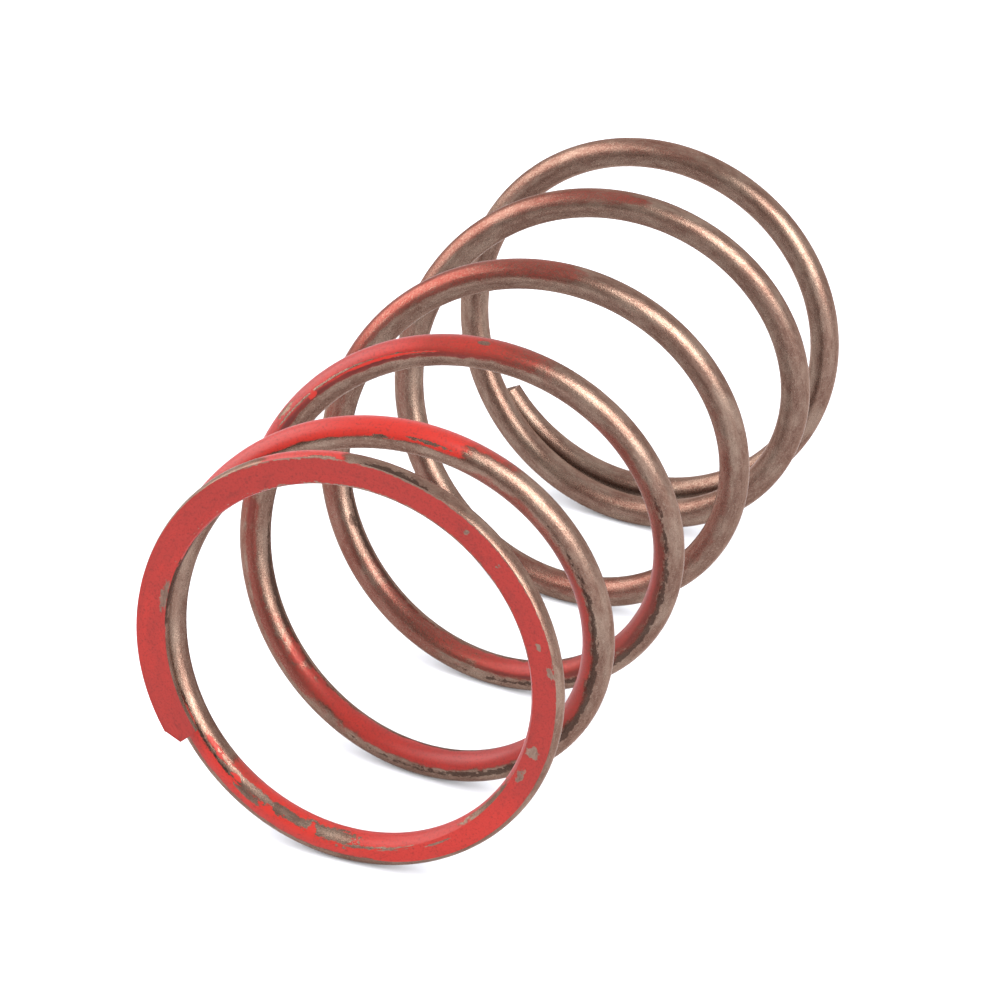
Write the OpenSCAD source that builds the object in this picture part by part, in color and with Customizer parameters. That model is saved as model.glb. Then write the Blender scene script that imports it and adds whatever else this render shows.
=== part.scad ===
// Compression coil spring with closed and ground ends.
// The spring lies on its side: +Y runs along the coil axis from the painted end to the plain end,
// +Z is up, and the origin is the middle of the painted end's ground seat.
// The spring is one wire. It is divided along its length so that it can shorten: both end coils stay
// whole, and the open coils between them are equal sections that each slide along the axis.

/* [Wire] */
// Diameter of the wire
wire_d = 4.35; // [3.5:0.05:5]

/* [Coil] */
// Outer diameter of the coil
coil_od = 60; // [50:1:80]
// Free length between the two ground seats
free_length = 124; // [110:1:160]
// Whole turns from one tip of the wire to the other
total_turns = 6; // [5:1:7]
// Angle of both wire tips round the axis, from +X towards +Z
tip_angle = 211.5; // [0:0.5:360]

/* [Closed ends] */
// Wire left standing on the seat at each ground tip
tip_thickness = 2.3; // [2.1:0.05:2.5]
// How far the wire bends down towards the seat at each tip
tip_dip = 0.7; // [0.4:0.1:0.9]
// Turns over which the tip bends down
dip_turns = 0.15; // [0.12:0.01:0.2]
// Gap between each ground tip and the next turn
tip_gap = 0.12; // [0.1:0.01:0.3]
// Turns from the tip to where the wire starts to lift off the closed coil
lift_start = 0.64; // [0.62:0.01:0.68]
// Turns over which the pitch grows from closed to open
lift_turns = 0.58; // [0.52:0.01:0.6]

/* [Hidden] */
// Colours of the paint and of the bare wire
paint_colour = [0.74, 0.27, 0.24];
tinted_colour = [0.62, 0.32, 0.27];
bare_colour = [0.49, 0.37, 0.32];

// Flats round the wire and rings along one turn
wire_sides = 16;
rings_per_turn = 30;

// Each turn is six sections, and both end coils keep one section of the open turns next to them
sections_per_turn = 6;
closed_turns = 1;
open_sections = (total_turns - 2 * closed_turns) * sections_per_turn - 2;

wire_r = wire_d / 2;
mean_r = coil_od / 2 - wire_r;
tip_y = tip_thickness - wire_r;
land_start = total_turns - lift_start - lift_turns;

// An S-curve from 0 to 1 while share runs from 0 to 1, and its slope
function held(share) = min(max(share, 0), 1);
function ease(share) = let (s = held(share)) s * s * (3 - 2 * s);
function ease_slope(share) = let (s = held(share)) 6 * s * (1 - s);

// Share of open pitch in the wire at t turns from the painted tip, for a lift that starts at start turns
function lift(t, start) = ease((t - start) / lift_turns);

// Turns of open pitch that the wire has made by t turns
function lifted(t, start) =
    let (s = held((t - start) / lift_turns))
    lift_turns * (pow(s, 3) - pow(s, 4) / 2) + max(t - start - lift_turns, 0);
function open_turns(t) = lifted(t, lift_start) - lifted(t, land_start);

// How much of the two tips' bends lies behind the wire at t turns, from 0 to 2, and its slope
function far_bend(t) = (t - total_turns) / dip_turns + 1;
function bent(t) = ease(t / dip_turns) + ease(far_bend(t));
function bent_slope(t) = (ease_slope(t / dip_turns) + ease_slope(far_bend(t))) / dip_turns;

// The pitch of the closed coils and the extra pitch of the open ones follow from the free length and the tip's gap
closed_rise = wire_d + tip_gap - tip_dip;
centre_rise = free_length - 2 * tip_y - 2 * tip_dip;
extra_pitch = (centre_rise - total_turns * closed_rise) / (open_turns(total_turns) - total_turns * open_turns(1));
end_pitch = closed_rise - extra_pitch * open_turns(1);

function pitch(t) = end_pitch + extra_pitch * (lift(t, lift_start) - lift(t, land_start)) + tip_dip * bent_slope(t);
function centre_y(t) = tip_y + end_pitch * t + extra_pitch * open_turns(t) + tip_dip * bent(t);
function lead_angle(t) = atan(pitch(t) / (2 * PI * mean_r));

// The wire's outline in the half plane through the axis at t turns: a circle drawn out by the lead angle
function ring(t) =
    let (around = tip_angle - 360 * t, half_y = wire_r / cos(lead_angle(t)))
    [
        for (i = [0 : wire_sides - 1])
            let (a = 360 * i / wire_sides, r = mean_r + wire_r * cos(a))
            [r * cos(around), centre_y(t) + half_y * sin(a), r * sin(around)]
    ];

// Two triangles for each flat between ring k and the next one
function flat_between(k, i) =
    let (
        here = k * wire_sides + i,
        beside = k * wire_sides + (i + 1) % wire_sides
    )
    [[here, here + wire_sides, beside], [beside, here + wire_sides, beside + wire_sides]];

// The wire from t = from to t = to, in turns from the painted tip
module wire(from, to) {
    steps = round((to - from) * rings_per_turn);
    rings = [for (k = [0 : steps]) ring(from + (to - from) * k / steps)];
    near_cap = [[for (i = [0 : wire_sides - 1]) i]];
    far_cap = [[for (i = [wire_sides - 1 : -1 : 0]) steps * wire_sides + i]];
    flats = [for (k = [0 : steps - 1], i = [0 : wire_sides - 1]) each flat_between(k, i)];
    polyhedron(points = [for (r = rings) each r], faces = concat(near_cap, flats, far_cap));
}

// A block that takes off all the wire beyond one ground seat, with outward as -1 or 1 along Y
module beyond_seat(seat_y, outward) {
    translate([0, seat_y + outward * wire_d / 2, 0]) cube([2 * coil_od, wire_d, 2 * coil_od], center = true);
}

module painted_end_coil() {
    color(paint_colour) difference() {
        wire(0, closed_turns);
        beyond_seat(0, -1);
    }
}

module painted_end_lead() {
    color(paint_colour) wire(closed_turns, closed_turns + 1 / sections_per_turn);
}

// Open section of the wire, numbered from 1 at the painted end
module coil_section(number) {
    from = closed_turns + number / sections_per_turn;
    color(number <= 2 * sections_per_turn ? tinted_colour : bare_colour)
        wire(from, from + 1 / sections_per_turn);
}

module plain_end_lead() {
    last = total_turns - closed_turns;
    color(bare_colour) wire(last - 1 / sections_per_turn, last);
}

module plain_end_coil() {
    color(bare_colour) difference() {
        wire(total_turns - closed_turns, total_turns);
        beyond_seat(free_length, 1);
    }
}

function section_name(number) = str("coil_section_", number < 10 ? "0" : "", number);

painted_end_coil();
painted_end_lead();
for (number = [1 : open_sections])
    coil_section(number);
plain_end_lead();
plain_end_coil();
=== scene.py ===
"""Looks for the coil spring: one round steel wire in six turns, with red paint sprayed on one end.

The spring lies on its side. Its axis is +Y, from the painted seat at y = 0 to the plain seat. A point
on the wire is given by turn, counted along the wire from the painted tip, and by angle round the wire:
0 faces away from the coil axis, 90 faces +Y, 180 faces the axis and 270 faces -Y.
"""
import math

import bpy
import numpy as np
from mathutils import Matrix, Vector


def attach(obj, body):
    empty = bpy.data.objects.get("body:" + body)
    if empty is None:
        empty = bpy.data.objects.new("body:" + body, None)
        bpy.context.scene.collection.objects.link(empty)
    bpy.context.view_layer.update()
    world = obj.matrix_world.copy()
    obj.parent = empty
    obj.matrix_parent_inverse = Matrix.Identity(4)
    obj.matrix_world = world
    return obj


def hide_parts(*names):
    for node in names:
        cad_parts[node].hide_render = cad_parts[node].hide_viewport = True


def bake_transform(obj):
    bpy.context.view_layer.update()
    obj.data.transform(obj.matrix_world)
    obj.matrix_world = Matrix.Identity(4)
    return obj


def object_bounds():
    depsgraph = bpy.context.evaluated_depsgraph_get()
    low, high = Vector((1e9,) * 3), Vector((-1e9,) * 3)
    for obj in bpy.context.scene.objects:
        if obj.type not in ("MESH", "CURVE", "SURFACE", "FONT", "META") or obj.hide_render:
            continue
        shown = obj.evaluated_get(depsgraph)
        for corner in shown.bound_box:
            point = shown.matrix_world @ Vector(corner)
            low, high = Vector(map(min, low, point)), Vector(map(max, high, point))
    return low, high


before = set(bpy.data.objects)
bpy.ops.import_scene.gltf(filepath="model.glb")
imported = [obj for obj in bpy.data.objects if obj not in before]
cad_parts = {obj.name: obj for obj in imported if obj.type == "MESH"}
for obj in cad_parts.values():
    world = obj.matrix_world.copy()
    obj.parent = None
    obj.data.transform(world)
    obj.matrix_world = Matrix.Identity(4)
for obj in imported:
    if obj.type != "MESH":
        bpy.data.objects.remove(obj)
cad_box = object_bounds()

MM = 0.001

# The wire and its coil, in millimetres and degrees, as the CAD model has them
WIRE_R = 4.35 / 2
COIL_R = 60.0 / 2
MEAN_R = COIL_R - WIRE_R
FREE_LENGTH = cad_box[1][1] / MM
TOTAL_TURNS = 6
TIP_ANGLE = 211.5
TIP_THICKNESS = 2.3
TIP_DIP = 0.7
DIP_TURNS = 0.15
TIP_GAP = 0.12
LIFT_START = 0.64
LIFT_TURNS = 0.58
LAND_START = TOTAL_TURNS - LIFT_START - LIFT_TURNS
TIP_Y = TIP_THICKNESS - WIRE_R

# Where the photo's plain tip ends, which is 2.6 mm of wire short of the CAD model's six turns
PLAIN_TIP_TURN = 5.985

# How the wire is divided into pieces.
SECTIONS_PER_TURN = 6
OPEN_SECTIONS = 22

# How finely each piece is meshed
RINGS_PER_TURN = 240
ROUND_SIDES = 36
SEAT_SIDES = 8
LEAST_SEAT_ANGLE = 15.0

# Each piece reaches this far into its neighbour, sunk this deep, so that no gap opens as the wire bends
LIP_TURNS = 0.0018
LIP_DEPTH = 0.16

# Outline of the cut tip: how far the wire reaches past its last ring, in millimetres, from the side
# that faces the coil axis to its outer side
TIP_ACROSS = (-1.0, -0.4, 0.05, 0.3, 0.8, 1.0)
TIP_REACH = (1.1, 1.4, 1.5, 1.95, 0.0, -0.5)


def smooth(low, high, value):
    """0 at low, 1 at high, an S-curve between them and level beyond them."""
    share = np.clip((value - low) / (high - low), 0, 1)
    return share * share * (3 - 2 * share)


def lifted(turn, start):
    """Turns of full slope gained when the slope rises smoothly from start."""
    share = np.clip((turn - start) / LIFT_TURNS, 0, 1)
    return LIFT_TURNS * (share**3 - share**4 / 2) + np.maximum(turn - start - LIFT_TURNS, 0)


def open_turns(turn):
    """Turns of full slope that lie behind this turn: none in the closed coils, and rising between them."""
    return lifted(turn, LIFT_START) - lifted(turn, LAND_START)


def bent(turn):
    """How much of the two tips' bends lies behind this turn, from 0 to 2."""
    return smooth(0, DIP_TURNS, turn) + smooth(TOTAL_TURNS - DIP_TURNS, TOTAL_TURNS, turn)


def bent_slope(turn):
    """How fast bent() changes, per turn."""
    near = np.clip(turn / DIP_TURNS, 0, 1)
    far = np.clip((turn - TOTAL_TURNS) / DIP_TURNS + 1, 0, 1)
    return 6 * (near * (1 - near) + far * (1 - far)) / DIP_TURNS


# Rise over the first turn, and from tip to tip less the bends, in millimetres
CLOSED_RISE = 2 * WIRE_R + TIP_GAP - TIP_DIP
CENTRE_RISE = FREE_LENGTH - 2 * TIP_Y - 2 * TIP_DIP
EXTRA_PITCH = (CENTRE_RISE - TOTAL_TURNS * CLOSED_RISE) / (
    open_turns(TOTAL_TURNS) - TOTAL_TURNS * open_turns(1)
)
END_PITCH = CLOSED_RISE - EXTRA_PITCH * open_turns(1)


def centre_y(turn):
    """Height of the wire's centre above the painted seat, in millimetres."""
    return TIP_Y + END_PITCH * turn + EXTRA_PITCH * open_turns(turn) + TIP_DIP * bent(turn)


def pitch(turn):
    """Slope of the wire's centre, in millimetres per turn."""
    rising = smooth(LIFT_START, LIFT_START + LIFT_TURNS, turn)
    landing = smooth(LAND_START, LAND_START + LIFT_TURNS, turn)
    return END_PITCH + EXTRA_PITCH * (rising - landing) + TIP_DIP * bent_slope(turn)


def lead(turn):
    """Slope of the wire against the plane across the coil, in radians."""
    return np.arctan(pitch(turn) / (2 * math.pi * MEAN_R))


def around(turn):
    """Direction of the wire from the coil axis, in radians from +X towards +Z."""
    return math.radians(TIP_ANGLE) - 2 * math.pi * turn


def wire_points(turn, angle, sunk):
    """Points sunk below the wire's surface, in millimetres, with the seats ground flat."""
    radius = MEAN_R + (WIRE_R - sunk) * np.cos(angle)
    y = centre_y(turn) + (WIRE_R - sunk) / np.cos(lead(turn)) * np.sin(angle)
    direction = around(turn)
    ground = np.clip(y, 0, FREE_LENGTH)
    return np.stack([radius * np.cos(direction), ground, radius * np.sin(direction)], axis=-1)


def wire_normals(turn, angle):
    """Outward normals of the round wire, for arrays of turns and angles."""
    direction = around(turn)
    slope = lead(turn)
    across = np.cos(angle)
    along = np.sin(angle)
    away = np.stack([np.cos(direction), 0 * direction, np.sin(direction)], axis=-1)
    sideways = np.stack([np.sin(direction), 0 * direction, -np.cos(direction)], axis=-1)
    axis = np.array([0.0, 1.0, 0.0])
    binormal = np.cos(slope)[..., None] * axis - np.sin(slope)[..., None] * sideways
    return across[..., None] * away + along[..., None] * binormal


def seat_half_angle(turn, seat_y, side):
    """Half the angle of the wire that the grinding takes away. side is -1 or 1, the way the seat faces."""
    height = WIRE_R / np.cos(lead(turn))
    depth = side * (centre_y(turn) - seat_y) + height
    return np.arccos(np.clip(1 - depth / height, -1, 1))


def ring_angles(turn):
    """Angles round the wire for each ring, with one column on each edge of a seat."""
    if turn[0] == 0:
        middle = 1.5 * math.pi
        seat = seat_half_angle(turn, 0.0, -1)
    elif turn[-1] == PLAIN_TIP_TURN:
        middle = 0.5 * math.pi
        seat = seat_half_angle(turn, FREE_LENGTH, 1)
    else:
        even = np.linspace(0, 2 * math.pi, ROUND_SIDES + SEAT_SIDES, endpoint=False)
        return even + 0 * turn[:, None]
    half = np.maximum(seat, math.radians(LEAST_SEAT_ANGLE))[:, None]
    on_seat = middle + half * np.linspace(-1, 1, SEAT_SIDES + 1)[None]
    share = np.linspace(0, 1, ROUND_SIDES + 1)[None, 1:-1]
    on_round = middle + half + (2 * math.pi - 2 * half) * share
    return np.concatenate([on_seat, on_round], axis=1)


# Paint, wear and painted shade, as smooth amounts that the materials then break up with noise

# Where the sprayed paint reached: first and last turn, first and last angle, depth and softness
SPRAYED = (
    (-0.1, 0.22, 195, 318, 1.0, 0.010),
    (0.20, 0.27, 195, 300, 1.0, 0.010),
    (0.27, 0.335, 205, 385, 1.0, 0.012),
    (0.31, 0.62, 205, 308, 1.0, 0.010),
    (0.60, 0.70, 175, 315, 1.0, 0.015),
    (0.68, 0.92, 130, 285, 1.0, 0.015),
    (0.88, 0.955, 150, 215, 0.7, 0.025),
    (0.86, 1.02, 242, 288, 0.9, 0.020),
    (0.92, 0.985, 210, 236, 0.7, 0.010),
    (1.08, 1.40, 277, 392, 1.0, 0.020),
    (1.10, 1.38, 385, 425, 0.45, 0.040),
    (1.36, 1.435, 335, 395, 0.62, 0.030),
    (1.40, 1.72, 190, 268, 0.50, 0.060),
    (1.53, 1.92, 172, 262, 0.95, 0.040),
    (1.84, 1.99, 176, 258, 0.70, 0.060),
    (1.92, 2.13, 243, 290, 0.55, 0.050),
    (1.96, 2.13, 290, 320, 0.25, 0.040),
    (2.10, 2.36, 268, 392, 0.88, 0.030),
    (2.12, 2.34, 385, 420, 0.35, 0.040),
    (2.30, 2.40, 276, 380, 0.55, 0.020),
    (2.44, 2.76, 190, 272, 0.50, 0.060),
    (2.58, 2.88, 178, 266, 0.82, 0.045),
    (2.84, 2.98, 182, 262, 0.45, 0.045),
    (2.88, 3.14, 245, 312, 0.38, 0.050),
    (3.12, 3.36, 275, 395, 0.52, 0.030),
    (3.29, 3.38, 295, 350, 0.48, 0.025),
    (3.52, 3.92, 178, 272, 0.34, 0.070),
    (3.92, 4.14, 245, 300, 0.24, 0.050),
    (4.12, 4.36, 285, 390, 0.34, 0.030),
    (4.29, 4.37, 305, 345, 0.62, 0.020),
    (4.65, 4.90, 178, 270, 0.13, 0.060),
    (5.18, 5.38, 285, 380, 0.16, 0.030),
    (5.33, 5.37, 300, 345, 0.26, 0.015),
    (5.70, 5.86, 178, 262, 0.10, 0.050),
)

# Marks as (turn, angle round the wire, half length in turns, half width in degrees)
BARE_MARKS = (
    (0.122, 196, 0.030, 34),
    (0.315, 325, 0.013, 13),
    (0.694, 219, 0.034, 17),
    (0.78, 243, 0.100, 6),
    (0.852, 222, 0.026, 30),
    (0.885, 222, 0.045, 18),
    (0.93, 222, 0.035, 13),
    (0.925, 252, 0.014, 9),
    (0.965, 240, 0.030, 7),
    (1.335, 281, 0.010, 6),
    (1.372, 293, 0.016, 7),
    (2.215, 294, 0.070, 4),
    (2.30, 284, 0.020, 5),
    (2.352, 335, 0.005, 9),
    (2.185, 320, 0.009, 13),
    (2.86, 262, 0.030, 6),
)
SEAT_MARKS = (
    (0.43, 326, 0.20, 11),
    (0.40, 217, 0.22, 8),
    (0.118, 224, 0.014, 22),
    (0.437, 275, 0.003, 12),
    (0.472, 277, 0.003, 9),
    (0.540, 272, 0.003, 14),
    (0.561, 300, 0.005, 14),
    (0.630, 260, 0.005, 26),
    (0.654, 250, 0.006, 16),
    (0.755, 252, 0.012, 5),
    (0.80, 247, 0.020, 4),
)
THICK_MARKS = (
    (0.866, 235, 0.004, 32),
    (0.880, 254, 0.008, 12),
    (0.905, 248, 0.005, 14),
    (0.942, 233, 0.007, 9),
    (0.963, 230, 0.006, 6),
    (2.212, 285, 0.004, 16),
    (2.275, 286, 0.050, 5),
)
# Darker patches on the bare wire: a pit at turn 3.02, darker patches at turns 0.14, 0.372 and 0.99, and
# painted shade along the side that faces the coil axis at turns 2.0 and 2.98 and along the side that faces
# -Y at turns 1.68 and 2.70
DARK_MARKS = (
    (0.372, 318, 0.028, 26),
    (0.14, 190, 0.045, 24),
    (3.02, 214, 0.006, 14),
    (0.99, 243, 0.050, 6),
    (2.00, 188, 0.110, 12),
    (2.98, 188, 0.080, 12),
    (1.68, 277, 0.170, 14),
    (2.70, 279, 0.150, 13),
)


def band(value, low, high, soft):
    """1 between low and high, 0 outside them, with an S-curve of twice soft across each."""
    return smooth(low - soft, low + soft, value) * (1 - smooth(high - soft, high + soft, value))


def sprayed(turn, angle):
    """How much a point is inside the sprayed areas, and how deep their paint is there."""
    inside = np.zeros(turn.shape)
    depths = np.zeros(turn.shape)
    total = np.full(turn.shape, 1e-6)
    degrees = np.degrees(angle) % 360
    for first, last, low, high, depth, soft in SPRAYED:
        past_low = (degrees - low + 90) % 360 - 90
        share = band(turn, first, last, soft) * band(past_low, 0, high - low, 400 * soft)
        inside = np.maximum(inside, share)
        depths += share * depth
        total += share
    return inside, depths / total


def paint_tone_and_shade(turn, angle, points):
    """0 on the seat, 1 for the bright red outside the coil, and below 0 for painted shade: a darker red
    along the side of the wire that faces -Y, from about turn 1.9 on.
    """
    outside = smooth(-0.3, 0.5, np.cos(angle)) * (1 - 0.5 * smooth(1.9, 2.3, turn))
    first_coil = smooth(0.62, 0.72, turn) * smooth(1.05, 0.95, turn)
    on_seat = smooth(0.01, 0.0, points[:, 1])
    degrees = np.degrees(angle) % 360
    # Painted shade: a darker red band along the side of the wire that faces -Y, from about turn 1.9 on
    front_shade = band(degrees, 243, 292, 10) * smooth(1.85, 1.98, turn)
    left_of_seat = 0.3 * band(turn, 0.02, 0.18, 0.04)
    tone = np.maximum(outside, 0.3) * (1 - on_seat) + left_of_seat * on_seat
    return np.maximum(tone, 0.9 * first_coil) - 0.9 * front_shade


def marked(turn, angle, marks):
    """1 in the middle of a mark, 0 on its outline and down to -1 away from it."""
    amount = np.full(turn.shape, -1.0)
    for mark_turn, mark_angle, half_length, half_width in marks:
        along = (turn - mark_turn) / half_length
        across = ((np.degrees(angle) - mark_angle + 180) % 360 - 180) / half_width
        amount = np.maximum(amount, 1 - np.hypot(along, across))
    return amount


def place_rings(first, last):
    """Turns of a piece's rings, and how deep each is sunk, with a lip past each end that meets another."""
    rings = round((last - first) * RINGS_PER_TURN) + 1
    turn = np.linspace(first, last, rings)
    sunk = np.zeros(rings)
    if first > 0:
        turn = np.append(first - LIP_TURNS, turn)
        sunk = np.append(LIP_DEPTH, sunk)
    if last < PLAIN_TIP_TURN:
        turn = np.append(turn, last + LIP_TURNS)
        sunk = np.append(sunk, LIP_DEPTH)
    return turn, sunk


def tube_faces(rings, columns):
    """Faces of a tube of rings, closed by a flat face at each end."""
    faces = []
    for ring in range(rings - 1):
        near = ring * columns
        far = near + columns
        for column in range(columns):
            after = (column + 1) % columns
            faces.append((near + column, far + column, far + after, near + after))
    faces.append(tuple(range(columns)))
    faces.append(tuple((rings - 1) * columns + c for c in reversed(range(columns))))
    return faces


def build_mesh(name, first, last):
    """The wire from turn first to turn last as a closed mesh, with normals of the true round."""
    turn, sunk = place_rings(first, last)
    angle = ring_angles(turn)
    rings, columns = angle.shape
    turns = turn[:, None] + 0 * angle
    points = wire_points(turns, angle, sunk[:, None])
    normals = wire_normals(turns, angle)
    shape_tip(points, turn, angle)
    mesh = bpy.data.meshes.new(name)
    flat_points = points.reshape(-1, 3)
    mesh.from_pydata((flat_points * MM).tolist(), [], tube_faces(rings, columns))
    mesh.validate()
    add_attributes(mesh, turns.ravel(), angle.ravel(), flat_points)
    set_normals(mesh, flat_points, normals.reshape(-1, 3))
    return mesh


def shape_tip(points, turn, angle):
    """The sheared end of the wire: a slanting cut, with its outer corner broken off."""
    for ring, way, at_end in ((0, -1, turn[0] == 0), (-1, 1, turn[-1] == PLAIN_TIP_TURN)):
        if at_end:
            direction = around(turn[ring])
            forward = way * np.array([math.sin(direction), 0.0, -math.cos(direction)])
            reach = np.interp(np.cos(angle[ring]), TIP_ACROSS, TIP_REACH)
            points[ring] += reach[:, None] * forward


def add_attributes(mesh, turn, angle, points):
    """What the materials read: the place on the wire in millimetres, the paint and its wear, and the
    painted shade.
    """
    length = 2 * math.pi * MEAN_R * turn
    place = np.stack([length, WIRE_R * np.cos(angle), WIRE_R * np.sin(angle)], axis=-1)
    attribute = mesh.attributes.new("place", "FLOAT_VECTOR", "POINT")
    attribute.data.foreach_set("vector", place.astype(np.float32).ravel())
    inside, depth = sprayed(turn, angle)
    amounts = {
        "sprayed": inside,
        "paint_depth": depth,
        "paint_tone_and_shade": paint_tone_and_shade(turn, angle, points),
        "bare_mark": marked(turn, angle, BARE_MARKS),
        "seat_mark": marked(turn, angle, SEAT_MARKS),
        "thick_mark": marked(turn, angle, THICK_MARKS),
        "dark_mark": marked(turn, angle, DARK_MARKS),
    }
    for name, values in amounts.items():
        attribute = mesh.attributes.new(name, "FLOAT", "POINT")
        attribute.data.foreach_set("value", values.astype(np.float32))


def set_normals(mesh, points, normals):
    """Round faces take the true round's normals, and seats and cut ends stay flat."""
    seat_y = (0.0, FREE_LENGTH)
    corner_normals = []
    for face in mesh.polygons:
        face.use_smooth = True
        corners = points[list(face.vertices)]
        on_seat = any(np.all(np.abs(corners[:, 1] - y) < 1e-6) for y in seat_y)
        if on_seat:
            face.material_index = 1
        if on_seat or len(face.vertices) > 4:
            corner_normals += [tuple(face.normal)] * len(face.vertices)
        else:
            corner_normals += [tuple(normals[v]) for v in face.vertices]
    mesh.normals_split_custom_set(corner_normals)


# Materials


class Nodes:
    """Short calls for building one material's node tree."""

    def __init__(self, name):
        self.material = bpy.data.materials.new(name)
        self.material.use_nodes = True
        self.tree = self.material.node_tree
        self.shader = self.tree.nodes["Principled BSDF"]

    def link(self, value, socket):
        if isinstance(value, bpy.types.NodeSocket):
            self.tree.links.new(value, socket)
        else:
            socket.default_value = value

    def attribute(self, name, output="Fac"):
        node = self.tree.nodes.new("ShaderNodeAttribute")
        node.attribute_name = name
        return node.outputs[output]

    def math(self, operation, *values, clamp=False):
        node = self.tree.nodes.new("ShaderNodeMath")
        node.operation = operation
        node.use_clamp = clamp
        for value, socket in zip(values, node.inputs):
            self.link(value, socket)
        return node.outputs[0]

    def stretch(self, vector, scale):
        node = self.tree.nodes.new("ShaderNodeVectorMath")
        node.operation = "MULTIPLY"
        self.link(vector, node.inputs[0])
        node.inputs[1].default_value = scale
        return node.outputs[0]

    def noise(self, vector, scale, detail=3.0, roughness=0.55):
        node = self.tree.nodes.new("ShaderNodeTexNoise")
        self.link(vector, node.inputs["Vector"])
        node.inputs["Scale"].default_value = scale
        node.inputs["Detail"].default_value = detail
        node.inputs["Roughness"].default_value = roughness
        return node.outputs["Fac"]

    def ramp(self, value, low, high, to_low=0.0, to_high=1.0):
        node = self.tree.nodes.new("ShaderNodeMapRange")
        node.interpolation_type = "SMOOTHSTEP"
        self.link(value, node.inputs["Value"])
        self.link(low, node.inputs["From Min"])
        self.link(high, node.inputs["From Max"])
        self.link(to_low, node.inputs["To Min"])
        self.link(to_high, node.inputs["To Max"])
        return node.outputs["Result"]

    def mix(self, share, first, second):
        node = self.tree.nodes.new("ShaderNodeMix")
        node.data_type = "RGBA"
        self.link(share, node.inputs["Factor"])
        # Sockets 6, 7 and 2 are the ones for colours; their names are shared with those for numbers
        self.link(first, node.inputs[6])
        self.link(second, node.inputs[7])
        return node.outputs[2]

    def mix_number(self, share, first, second):
        node = self.tree.nodes.new("ShaderNodeMix")
        self.link(share, node.inputs[0])
        self.link(first, node.inputs[2])
        self.link(second, node.inputs[3])
        return node.outputs[0]

    def bump(self, height, distance):
        node = self.tree.nodes.new("ShaderNodeBump")
        node.inputs["Distance"].default_value = distance
        node.inputs["Strength"].default_value = 1.0
        self.link(height, node.inputs["Height"])
        return node.outputs["Normal"]


BARE_BLACK = (0.035, 0.020, 0.015, 1)
BARE_DARK = (0.119, 0.065, 0.048, 1)
BARE_MIDDLE = (0.170, 0.103, 0.077, 1)
BARE_LIGHT = (0.335, 0.26, 0.20, 1)
BARE_EDGE = (0.75, 0.62, 0.57, 1)
STAIN = (0.165, 0.032, 0.023, 1)
PAINT_DEEP = (0.055, 0.006, 0.004, 1)
PAINT_MIDDLE = (0.216, 0.0115, 0.0072, 1)
PAINT_BRIGHT = (0.305, 0.0130, 0.007, 1)
PAINT_GLOSS = 0.3
GROUND_STEEL = (0.27, 0.25, 0.225, 1)

# Depth of the relief that the materials show, in metres
WIRE_RELIEF = 0.00005
GRINDING_RELIEF = 0.00003


def bare_colour(nodes, place):
    """Oxide-brown drawn wire: faint streaks along it, fine dark specks and worn light spots."""
    streaks = nodes.noise(nodes.stretch(place, (0.3, 1, 1)), 2.2, 3, 0.6)
    specks = nodes.noise(nodes.stretch(place, (0.7, 1, 1)), 4.2, 3, 0.75)
    clouds = nodes.noise(nodes.stretch(place, (0.4, 1, 1)), 0.4, 2)
    tone = nodes.mix(nodes.ramp(streaks, 0.3, 0.7), BARE_DARK, BARE_MIDDLE)
    tone = nodes.mix(nodes.ramp(clouds, 0.4, 0.7, 0.0, 0.3), tone, BARE_LIGHT)
    tone = nodes.mix(nodes.ramp(specks, 0.53, 0.70, 0.0, 0.35), tone, BARE_LIGHT)
    tone = nodes.mix(nodes.ramp(specks, 0.40, 0.30, 0.0, 0.7), tone, BARE_BLACK)
    return tone, streaks, specks


def paint_colour(nodes, place, brightness):
    """Matt red paint with soft changes of tone, a fine mottle and dark specks of grime, and the deep red of
    painted shade where brightness falls below 0.
    """
    clouds = nodes.noise(nodes.stretch(place, (0.35, 1, 1)), 0.5, 3)
    mottle = nodes.noise(place, 3.4, 3, 0.7)
    share = nodes.math("MULTIPLY_ADD", nodes.math("SUBTRACT", clouds, 0.5), 1.3, brightness)
    tone = nodes.mix(nodes.ramp(share, 0.0, 1.0), PAINT_MIDDLE, PAINT_BRIGHT)
    # Below 0 the paint turns deep red: in random darker clouds, and as painted shade where the tone carries
    # it
    tone = nodes.mix(nodes.ramp(share, 0.0, -0.7, 0.0, 0.9), tone, PAINT_DEEP)
    return nodes.mix(nodes.ramp(mottle, 0.48, 0.72, 0.0, 0.6), tone, PAINT_DEEP), mottle


def mark(nodes, name, rag, raggedness):
    """Share of a mark at each point, with a ragged outline."""
    amount = nodes.math("MULTIPLY_ADD", rag, raggedness, nodes.attribute(name))
    return nodes.ramp(amount, -0.05, 0.1)


def paint_cover(nodes, place, specks, rag):
    """How much paint is left at each point: the spray with its wavy edges, less what is worn off."""
    waves = nodes.noise(nodes.stretch(place, (0.6, 1, 1)), 0.6, 2)
    drift = nodes.math("SUBTRACT", waves, 0.5)
    edge = nodes.math("MULTIPLY_ADD", drift, 1.3, nodes.attribute("sprayed"))
    edge = nodes.math("MULTIPLY_ADD", rag, 0.6, edge)
    grain = nodes.math("SUBTRACT", specks, 0.5)
    mist = nodes.math("MULTIPLY_ADD", grain, -0.5, nodes.attribute("paint_depth"))
    cover = nodes.math("MULTIPLY", nodes.ramp(edge, 0.15, 0.85), mist, clamp=True)
    unworn = nodes.math("SUBTRACT", 1.0, mark(nodes, "bare_mark", rag, 2.6))
    return nodes.math("MULTIPLY", cover, unworn)


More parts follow.
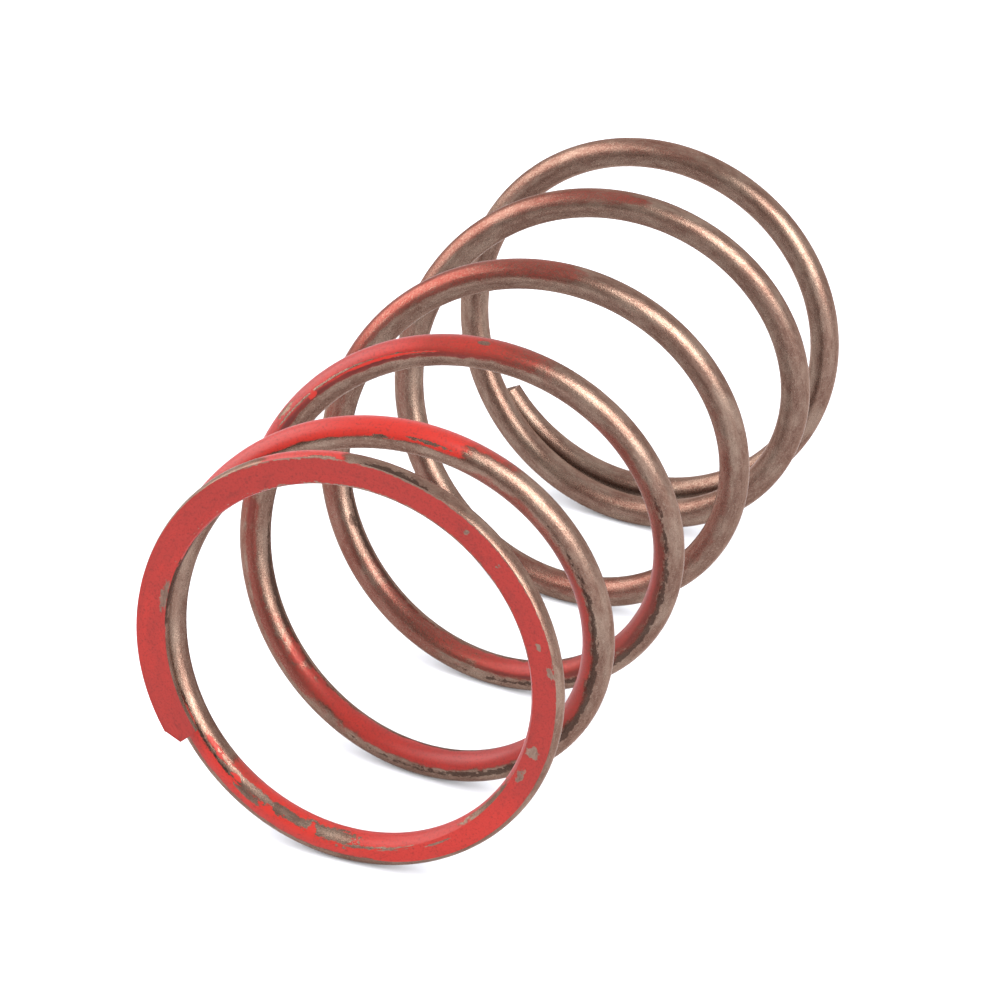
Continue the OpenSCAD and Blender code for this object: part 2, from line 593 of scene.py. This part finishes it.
def wire_material():
    """Bare wire that thin paint stains and thick paint hides."""
    nodes = Nodes("sprayed_wire")
    place = nodes.attribute("place", "Vector")
    bare, streaks, specks = bare_colour(nodes, place)
    paint, mottle = paint_colour(nodes, place, nodes.attribute("paint_tone_and_shade"))
    ragged = nodes.noise(nodes.stretch(place, (0.5, 1, 1)), 1.7, 4, 0.7)
    rag = nodes.math("SUBTRACT", ragged, 0.5)
    thick = mark(nodes, "thick_mark", rag, 2.0)
    cover = nodes.math("MAXIMUM", paint_cover(nodes, place, specks, rag), thick)
    film = nodes.ramp(cover, 0.4, 0.9)
    # Darkens the bare wire under the dark marks: a pit and darker patches, and painted shade along the open
    # coils
    dirt_and_painted_shade = nodes.math("MULTIPLY", mark(nodes, "dark_mark", rag, 2.6), 0.8)
    bare = nodes.mix(dirt_and_painted_shade, bare, BARE_BLACK)
    tinted = nodes.mix(nodes.ramp(cover, -0.05, 0.9), bare, STAIN)
    paint = nodes.mix(thick, paint, PAINT_BRIGHT)
    nodes.link(nodes.mix(film, tinted, paint), nodes.shader.inputs["Base Color"])
    nodes.link(nodes.mix(film, BARE_EDGE, (1, 1, 1, 1)), nodes.shader.inputs["Specular Tint"])
    nodes.link(nodes.mix_number(film, 0.95, 0.0), nodes.shader.inputs["Metallic"])
    nodes.shader.inputs["Specular IOR Level"].default_value = PAINT_GLOSS
    wire_surface(nodes, film, streaks, specks, mottle)
    return nodes.material


def wire_surface(nodes, film, streaks, specks, mottle):
    """Roughness and fine relief of the wire, and of the paint where it hides the wire."""
    rough_bare = nodes.ramp(specks, 0.35, 0.65, 0.37, 0.23)
    rough_paint = nodes.ramp(mottle, 0.3, 0.7, 0.32, 0.46)
    nodes.link(nodes.mix_number(film, rough_bare, rough_paint), nodes.shader.inputs["Roughness"])
    grain = nodes.math("MULTIPLY_ADD", specks, 0.7, nodes.math("MULTIPLY", streaks, 0.3))
    height = nodes.mix_number(film, grain, nodes.math("MULTIPLY_ADD", mottle, 0.25, 0.7))
    nodes.link(nodes.bump(height, WIRE_RELIEF), nodes.shader.inputs["Normal"])


def painted_seat_material():
    """The ground end under its paint: matt, with chips down to brown steel."""
    nodes = Nodes("painted_seat")
    place = nodes.attribute("place", "Vector")
    bare, _, specks = bare_colour(nodes, place)
    paint, mottle = paint_colour(nodes, place, nodes.attribute("paint_tone_and_shade"))
    ragged = nodes.noise(nodes.stretch(place, (0.7, 1, 1)), 1.8, 4, 0.7)
    rag = nodes.math("SUBTRACT", ragged, 0.5)
    worn = mark(nodes, "seat_mark", rag, 2.4)
    nodes.link(nodes.mix(worn, paint, bare), nodes.shader.inputs["Base Color"])
    nodes.shader.inputs["Specular IOR Level"].default_value = PAINT_GLOSS
    nodes.link(nodes.mix_number(worn, 0.0, 0.7), nodes.shader.inputs["Metallic"])
    nodes.link(nodes.ramp(mottle, 0.3, 0.7, 0.5, 0.62), nodes.shader.inputs["Roughness"])
    height = nodes.mix_number(worn, nodes.math("MULTIPLY_ADD", mottle, 0.3, 0.7), specks)
    nodes.link(nodes.bump(height, WIRE_RELIEF), nodes.shader.inputs["Normal"])
    return nodes.material


def plain_seat_material():
    """The ground end that was left bare: bright steel with fine grinding lines across it."""
    nodes = Nodes("ground_seat")
    place = nodes.attribute("place", "Vector")
    lines = nodes.noise(nodes.stretch(place, (3.0, 0.15, 0.15)), 4.0, 4, 0.7)
    stain = nodes.noise(place, 0.8, 4, 0.6)
    bare = bare_colour(nodes, place)[0]
    steel = nodes.mix(nodes.ramp(stain, 0.5, 0.75, 0.0, 0.7), GROUND_STEEL, bare)
    nodes.link(steel, nodes.shader.inputs["Base Color"])
    nodes.shader.inputs["Metallic"].default_value = 1.0
    nodes.link(nodes.ramp(lines, 0.3, 0.7, 0.28, 0.44), nodes.shader.inputs["Roughness"])
    nodes.link(nodes.bump(lines, GRINDING_RELIEF), nodes.shader.inputs["Normal"])
    return nodes.material


# Stage: camera, floor and lights. Angles are in degrees, and lengths in millimetres.

CAMERA_AZIMUTH = 19.856
CAMERA_ELEVATION = 25.549
CAMERA_ROLL = 1.681
CAMERA_DISTANCE = 687.43
CAMERA_AIM = (-0.89, 60.38, -2.56)
CAMERA_LENS = 174.62
FLOOR_Z = -COIL_R
FLOOR_COLOUR = (0.675, 0.685, 0.715, 1)
FLOOR_GLOW = (0.97, 0.98, 1, 1)
FRONT_BRIGHTNESS = 0.84
BACK_BRIGHTNESS = 1.50
WORLD_COLOUR = (0.985, 1.0, 1.04, 1)

# Soft boxes as (name, azimuth, elevation, distance, width, height, power), in metres and watts
SOFT_BOXES = (
    ("right_box", 62, 28, 1.2, 0.8, 1.0, 27),
    ("left_box", -75, 35, 1.2, 1.5, 1.0, 22),
)


def outward(azimuth, elevation):
    """Direction from the spring that is towards -Y at azimuth 0 and towards +X at 90."""
    turned = math.radians(azimuth)
    raised = math.radians(elevation)
    level = math.cos(raised)
    return Vector((math.sin(turned) * level, -math.cos(turned) * level, math.sin(raised)))


def view_axes(azimuth, elevation, roll):
    """Right, up and forward of a camera that stands outward at azimuth and elevation."""
    turned = math.radians(azimuth)
    rolled = math.radians(roll)
    forward = -outward(azimuth, elevation)
    level = Vector((math.cos(turned), math.sin(turned), 0))
    upright = level.cross(forward)
    right = math.cos(rolled) * level + math.sin(rolled) * upright
    return right, right.cross(forward), forward


def add_camera():
    right, up, forward = view_axes(CAMERA_AZIMUTH, CAMERA_ELEVATION, CAMERA_ROLL)
    data = bpy.data.cameras.new("camera")
    data.lens = CAMERA_LENS
    data.sensor_width = 36
    data.clip_end = 20
    camera = bpy.data.objects.new("camera", data)
    place = (Vector(CAMERA_AIM) - CAMERA_DISTANCE * forward) * MM
    axes = Matrix((right, up, -forward)).transposed()
    camera.matrix_world = Matrix.Translation(place) @ axes.to_4x4()
    bpy.context.scene.collection.objects.link(camera)
    bpy.context.scene.camera = camera


def add_light(name, azimuth, elevation, distance, width, height, power):
    """A soft box that faces the middle of the spring, with its sizes in metres and its power in watts."""
    direction = outward(azimuth, elevation)
    data = bpy.data.lights.new(name, "AREA")
    data.shape = "RECTANGLE"
    data.size = width
    data.size_y = height
    data.energy = power
    light = bpy.data.objects.new(name, data)
    middle = Vector((0, FREE_LENGTH / 2, 0)) * MM
    light.location = middle + direction * distance
    light.visible_camera = False
    light.rotation_euler = direction.to_track_quat("Z", "Y").to_euler()
    bpy.context.scene.collection.objects.link(light)


def add_floor():
    """A pale floor that the spring lies on, eight metres across."""
    half = 4.0
    corners = [(-half, -half), (half, -half), (half, half), (-half, half)]
    mesh = bpy.data.meshes.new("floor")
    mesh.from_pydata([(x, y, FLOOR_Z * MM) for x, y in corners], [], [(0, 1, 2, 3)])
    floor = bpy.data.objects.new("floor", mesh)
    nodes = Nodes("white_floor")
    nodes.shader.inputs["Base Color"].default_value = FLOOR_COLOUR
    nodes.shader.inputs["Emission Color"].default_value = FLOOR_GLOW
    nodes.shader.inputs["Emission Strength"].default_value = 0.10
    nodes.shader.inputs["Roughness"].default_value = 0.9
    nodes.shader.inputs["Specular IOR Level"].default_value = 0.1
    mesh.materials.append(nodes.material)
    bpy.context.scene.collection.objects.link(floor)


def add_world():
    """Even, slightly blue light that is brighter behind the spring and above it than in front."""
    world = bpy.data.worlds.new("studio")
    bpy.context.scene.world = world
    world.use_nodes = True
    tree = world.node_tree
    direction = tree.nodes.new("ShaderNodeTexCoord").outputs["Generated"]
    split = tree.nodes.new("ShaderNodeSeparateXYZ")
    tree.links.new(direction, split.inputs[0])
    brightness = tree.nodes.new("ShaderNodeMapRange")
    brightness.inputs["From Min"].default_value = -0.6
    brightness.inputs["From Max"].default_value = 1.0
    brightness.inputs["To Min"].default_value = FRONT_BRIGHTNESS
    brightness.inputs["To Max"].default_value = BACK_BRIGHTNESS
    overhead = tree.nodes.new("ShaderNodeMath")
    overhead.operation = "MULTIPLY_ADD"
    tree.links.new(split.outputs["Z"], overhead.inputs[0])
    overhead.inputs[1].default_value = 0.4
    tree.links.new(split.outputs["Y"], overhead.inputs[2])
    tree.links.new(overhead.outputs[0], brightness.inputs["Value"])
    tree.links.new(brightness.outputs["Result"], tree.nodes["Background"].inputs["Strength"])
    tree.nodes["Background"].inputs["Color"].default_value = WORLD_COLOUR


def add_stage():
    bpy.context.scene.view_settings.view_transform = "Standard"
    add_camera()
    add_floor()
    add_world()
    for box in SOFT_BOXES:
        add_light(*box)


# The pieces


def add_piece(name, first, last, materials):
    """The wire from turn first to turn last, which stands for the CAD node of that name."""
    mesh = build_mesh(name, first, last)
    for material in materials:
        mesh.materials.append(material)
    piece = bpy.data.objects.new(name + "_wire", mesh)
    bpy.context.scene.collection.objects.link(piece)
    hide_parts(name)
    return piece


def blend_along(piece):
    """Bakes the piece's placement into its mesh."""
    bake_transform(piece)


def section_name(number):
    return f"coil_section_{number:02d}"


def add_painted_end(wire, seat, lead_end):
    """The painted closed coil, and the lead that joins it to the open coils."""
    piece = add_piece("painted_end_coil", 0, 1, (wire, seat))
    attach(piece, "painted_end")
    piece = add_piece("painted_end_lead", 1, lead_end, (wire,))
    blend_along(piece)


def add_section(number, wire, first, last):
    """One piece of the open coils."""
    piece = add_piece(section_name(number), first, last, (wire,))
    blend_along(piece)


def add_plain_end(wire, seat, lead_start, lead_end):
    """The lead that joins the open coils to the plain closed coil, and that coil."""
    piece = add_piece("plain_end_lead", lead_start, lead_end, (wire,))
    blend_along(piece)
    piece = add_piece("plain_end_coil", lead_end, PLAIN_TIP_TURN, (wire, seat))
    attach(piece, "plain_end")


def add_spring():
    wire = wire_material()
    painted_seat = painted_seat_material()
    ground_seat = plain_seat_material()
    step = 1 / SECTIONS_PER_TURN
    last_open = 1 + step * (OPEN_SECTIONS + 1)
    add_painted_end(wire, painted_seat, 1 + step)
    for number in range(1, OPEN_SECTIONS + 1):
        first = 1 + step * number
        add_section(number, wire, first, first + step)
    add_plain_end(wire, ground_seat, last_open, last_open + step)


add_stage()
add_spring()
